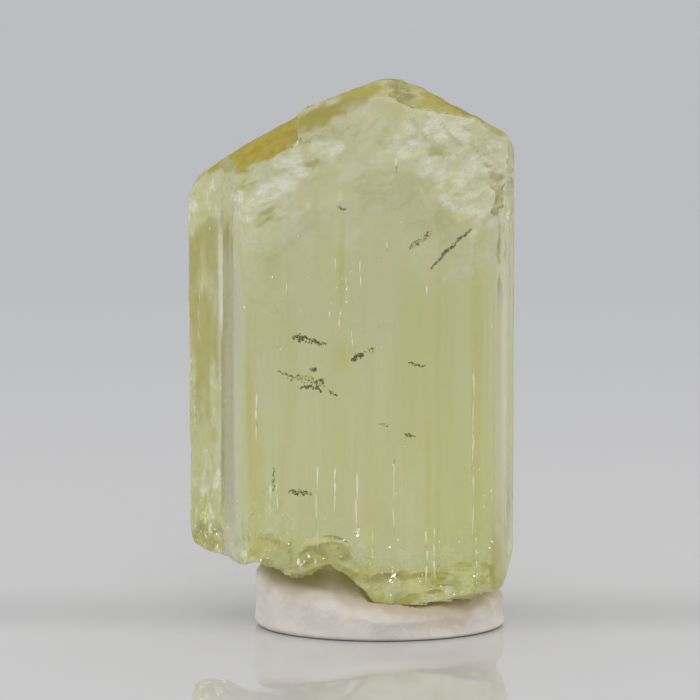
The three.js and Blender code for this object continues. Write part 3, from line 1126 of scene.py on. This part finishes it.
# Each softbox: its name, place and size in millimetres, colour, and whether it leaves the floor out.
SOFTBOXES = (
    ("top_softbox", (-30, -60, 300), (320, 320), (1.0, 1.0, 1.0), False),
    ("front_softbox", (60, -250, 170), (200, 160), (1.0, 1.0, 1.0), False),
    ("side_softbox", (-220, -60, 90), (90, 140), (0.97, 0.98, 1.0), True),
    ("right_softbox", (230, -40, 80), (90, 140), (1.0, 0.99, 0.98), True),
)
LIGHTS_AIM = 8  # the height that the softboxes face, in millimetres
FLOOR_DROP = 0.01  # how far the floor is below the part, in millimetres
FILM_WIDTH = 36.0  # of the camera


def soft_light(name, place, size, power, color, skipped):
    """A softbox at place, in millimetres, that faces the part. Its light leaves out the skipped object."""
    lamp = bpy.data.lights.new(name, "AREA")
    lamp.shape = "RECTANGLE"
    lamp.size, lamp.size_y = (side * MM for side in size)
    lamp.energy = power
    lamp.color = color
    holder = bpy.data.objects.new(name, lamp)
    bpy.context.scene.collection.objects.link(holder)
    holder.location = Vector(place) * MM
    holder.visible_camera = False
    towards = Vector((0, 0, LIGHTS_AIM * MM)) - holder.location
    holder.rotation_euler = towards.to_track_quat("-Z", "Y").to_euler()
    if skipped is not None:
        shade = bpy.data.collections.new(name + "_shade")
        shade.objects.link(skipped)
        shade.collection_objects[0].light_linking.link_state = "EXCLUDE"
        holder.light_linking.receiver_collection = shade


class CRYSTAL_OT_set_stage(bpy.types.Operator):
    """Set the floor, the soft light and the camera"""

    bl_idname = "crystal.set_stage"
    bl_label = "Set the stage"

    def execute(self, context):
        stage = context.scene.crystal_stage
        floor = self.lay_floor(stage)
        self.light(context, stage, floor)
        self.aim_camera(context, stage)
        context.scene.view_settings.view_transform = "Standard"
        cycles = context.scene.cycles
        cycles.max_bounces = 24
        cycles.transmission_bounces = 24
        cycles.glossy_bounces = 16
        return {"FINISHED"}

    def lay_floor(self, stage):
        mesh = bpy.data.meshes.new("acrylic_floor")
        disc = bmesh.new()
        bmesh.ops.create_circle(disc, cap_ends=True, segments=96, radius=stage.floor_radius)
        disc.to_mesh(mesh)
        disc.free()
        mesh.materials.append(floor_finish(stage))
        floor = bpy.data.objects.new("acrylic_floor", mesh)
        floor.location.z = -FLOOR_DROP * MM
        bpy.context.scene.collection.objects.link(floor)
        return floor

    def light(self, context, stage, floor):
        world = bpy.data.worlds.new("grey_room")
        context.scene.world = world
        world.use_nodes = True
        nodes = world.node_tree.nodes
        links = world.node_tree.links
        direction = nodes.new("ShaderNodeTexCoord")
        parts = nodes.new("ShaderNodeSeparateXYZ")
        ramp = nodes.new("ShaderNodeValToRGB")
        links.new(direction.outputs["Generated"], parts.inputs[0])
        links.new(parts.outputs["Z"], ramp.inputs["Fac"])
        ramp.color_ramp.elements[0].color = (*stage.room_color, 1.0)
        ramp.color_ramp.elements[1].color = (*stage.ceiling_color, 1.0)
        links.new(ramp.outputs[0], nodes["Background"].inputs["Color"])
        powers = (stage.top_power, stage.front_power, stage.side_power, stage.right_power)
        for (name, place, size, color, skips_floor), power in zip(SOFTBOXES, powers):
            soft_light(name, place, size, power, color, floor if skips_floor else None)

    def aim_camera(self, context, stage):
        lens = bpy.data.cameras.new("camera")
        lens.sensor_width = FILM_WIDTH
        lens.lens = FILM_WIDTH * stage.camera_distance / stage.view_width
        lens.clip_start = 10 * MM
        lens.clip_end = 5.0
        camera = bpy.data.objects.new("camera", lens)
        context.scene.collection.objects.link(camera)
        aim = Vector((0.0, 0.0, stage.aim_height))
        tilt = stage.camera_elevation
        back = Vector((0.0, -math.cos(tilt), math.sin(tilt)))
        camera.location = aim + back * stage.camera_distance
        camera.rotation_euler = (-back).to_track_quat("-Z", "Y").to_euler()
        context.scene.camera = camera


# ---------------------------------------------------------------- what a user would change


def a_tint(name, description, default):
    return FloatVectorProperty(
        name=name, description=description, subtype="COLOR", default=default, min=0.0, max=1.0
    )


def a_length(name, description, millimetres):
    return FloatProperty(
        name=name, description=description, default=millimetres * MM, unit="LENGTH", precision=5
    )


def an_amount(name, description, default, unit="NONE"):
    return FloatProperty(name=name, description=description, default=default, unit=unit)


def a_count(name, description, default):
    return IntProperty(name=name, description=description, default=default, min=0)


class StoneSettings(bpy.types.PropertyGroup):
    """Sizes and colours of the stone."""

    cell_share: an_amount("Cell share", "Share of the meshing grid that the stone fills", 0.7)
    etch_reach: a_length("Etch reach", "How far the etched zone reaches down from the roof", 3.4)
    chip_depth: a_length("Chip depth", "Depth of the etched facets", 0.16)
    rib_depth: a_length("Rib depth", "Depth of the fine lengthwise ribs", 0.008)
    mark_seed: a_count("Mark seed", "Which scatter of patches and pits is used", 3)
    refraction: an_amount("Refraction", "Index of refraction of zoisite", 1.69)
    absorption: an_amount("Absorption", "Light taken up per metre where the colour below is black", 85.0)
    through_color: a_tint("Through colour", "One minus what is taken up in each channel", (0.90, 0.86, 0.10))
    pit_color: a_tint("Pit colour", "Olive of the small pits", (0.42, 0.395, 0.105))
    film_color: a_tint("Film colour", "Ochre of the crown's thin film", (0.40, 0.345, 0.055))
    haze_color: a_tint("Haze colour", "Pale green of the milky zones", (0.68, 0.67, 0.38))
    foot_haze_color: a_tint("Foot haze colour", "Deep green of the milky foot", (0.44, 0.45, 0.045))
    band_color: a_tint("Band colour", "Yellow of the growth bands", (0.80, 0.79, 0.30))
    stain_color: a_tint("Roof colour", "Ochre of the roof", (0.40, 0.325, 0.03))
    # Frosted, and grey as a painted reflection of the room at a grazing angle.
    frosted_reflection_color: a_tint("Stripe colour", "Grey of the frosted stripe on the left ridge", (0.57, 0.575, 0.42))
    # This white is also the colour of the painted edge highlights.
    bloom_color: a_tint("Patch colour", "White of the etched patches", (0.82, 0.82, 0.74))
    top_tint: a_tint("Top tint", "Colour that light takes on at the top of the stone", (0.97, 0.972, 0.935))
    foot_tint: a_tint("Foot tint", "Colour that light takes on at the foot", (0.825, 0.855, 0.64))


class SealSettings(bpy.types.PropertyGroup):
    """Sizes and colours of what is sealed in the stone."""

    film_thickness: a_length("Film thickness", "Thickness of a feather", 0.02)
    foot_crack_count: a_count("Cracks in the foot", "How many small bright cracks lie along the foot", 70)
    crack_count: a_count("Cracks", "How many small bright cracks there are elsewhere", 70)
    feather_seed: a_count("Feather seed", "Seed for the feathers' flakes", 5)
    tube_seed: a_count("Tube seed", "Seed for where the tubes and cracks are", 7)
    dark_color: a_tint("Feather colour", "Darkest colour of the feathers", (0.21, 0.19, 0.01))
    # Crack colour is also the pale end of the tubes' painted highlight.
    bright_color: a_tint("Crack colour", "Colour of the bright cracks", (0.90, 0.90, 0.70))


class PuttySettings(bpy.types.PropertyGroup):
    """Sizes and colours of the putty."""

    press_gap: a_length("Press gap", "Air left under the stone's foot", 0.03)
    # Painted ochre shade: the stone's shadow and the light coloured by it, on the putty near the stone.
    stone_shade_color: a_tint("Tinge", "Ochre that the putty has where it touches the stone", (0.50, 0.40, 0.25))
    putty_color: a_tint("Putty colour", "Main colour of the putty", (0.68, 0.63, 0.57))


class StageSettings(bpy.types.PropertyGroup):
    """The floor, the lights and the camera."""

    floor_radius: a_length("Floor radius", "Radius of the floor", 600)
    floor_color: a_tint("Floor colour", "Colour of the floor in front", (0.775, 0.76, 0.75))
    # The middle and far colours are painted shade that greys the floor further back.
    middle_shade_color: a_tint("Middle colour", "Colour of the floor behind", (0.62, 0.62, 0.625))
    far_shade_color: a_tint("Far colour", "Colour of the floor far back", (0.60, 0.605, 0.62))
    # Painted shadow band behind the part.
    band_color: a_tint("Band colour", "Colour of the soft band behind", (0.63, 0.63, 0.61))
    room_color: a_tint("Room colour", "Light from the room at eye level", (0.52, 0.53, 0.555))
    ceiling_color: a_tint("Ceiling colour", "Light from above", (0.78, 0.78, 0.78))
    top_power: an_amount("Top light", "Power of the softbox above", 0.06, "POWER")
    front_power: an_amount("Front light", "Power of the softbox in front", 0.08, "POWER")
    side_power: an_amount("Side light", "Power of the softbox on the left", 0.19, "POWER")
    right_power: an_amount("Right light", "Power of the softbox on the right", 0.13, "POWER")
    camera_elevation: an_amount("Camera elevation", "How far it looks down", math.radians(8.0), "ROTATION")
    camera_distance: a_length("Camera distance", "From the lens to the part", 200)
    view_width: a_length("View width", "Width of the view at the part", 26.92)
    aim_height: a_length("Aim height", "Height that the camera looks at", 10.62)


class CRYSTAL_PT_maker(bpy.types.Panel):
    """Lists the pieces and their settings"""

    bl_idname = "CRYSTAL_PT_maker"
    bl_label = "Putty-mounted crystal"
    bl_space_type = "VIEW_3D"
    bl_region_type = "UI"
    bl_category = "Crystal"

    def draw(self, context):
        for title, settings, makers in PANEL_ROWS:
            box = self.layout.box()
            box.label(text=title)
            group = getattr(context.scene, settings)
            for name in group.bl_rna.properties.keys():
                if name not in {"rna_type", "name"}:
                    box.prop(group, name)
            for maker in makers:
                box.operator(maker)


PANEL_ROWS = (
    ("Stone", "crystal_stone", ("crystal.grow_stone",)),
    ("Sealed in", "crystal_seals", ("crystal.seal_feathers", "crystal.seal_tubes")),
    ("Putty", "crystal_putty", ("crystal.knead_putty",)),
    ("Stage", "crystal_stage", ("crystal.set_stage",)),
)
SETTINGS = {
    "crystal_stone": StoneSettings,
    "crystal_seals": SealSettings,
    "crystal_putty": PuttySettings,
    "crystal_stage": StageSettings,
}
CLASSES = (
    *SETTINGS.values(),
    CRYSTAL_OT_set_stage,
    CRYSTAL_OT_grow_stone,
    CRYSTAL_OT_seal_feathers,
    CRYSTAL_OT_seal_tubes,
    CRYSTAL_OT_knead_putty,
    CRYSTAL_PT_maker,
)


def register():
    for cls in CLASSES:
        bpy.utils.register_class(cls)
    for name, cls in SETTINGS.items():
        setattr(bpy.types.Scene, name, PointerProperty(type=cls))


def unregister():
    for name in SETTINGS:
        delattr(bpy.types.Scene, name)
    for cls in reversed(CLASSES):
        bpy.utils.unregister_class(cls)


def main():
    register()
    bpy.ops.crystal.set_stage()
    bpy.ops.crystal.grow_stone()
    bpy.ops.crystal.seal_feathers()
    bpy.ops.crystal.seal_tubes()
    bpy.ops.crystal.knead_putty()


if __name__ == "__main__":
    main()
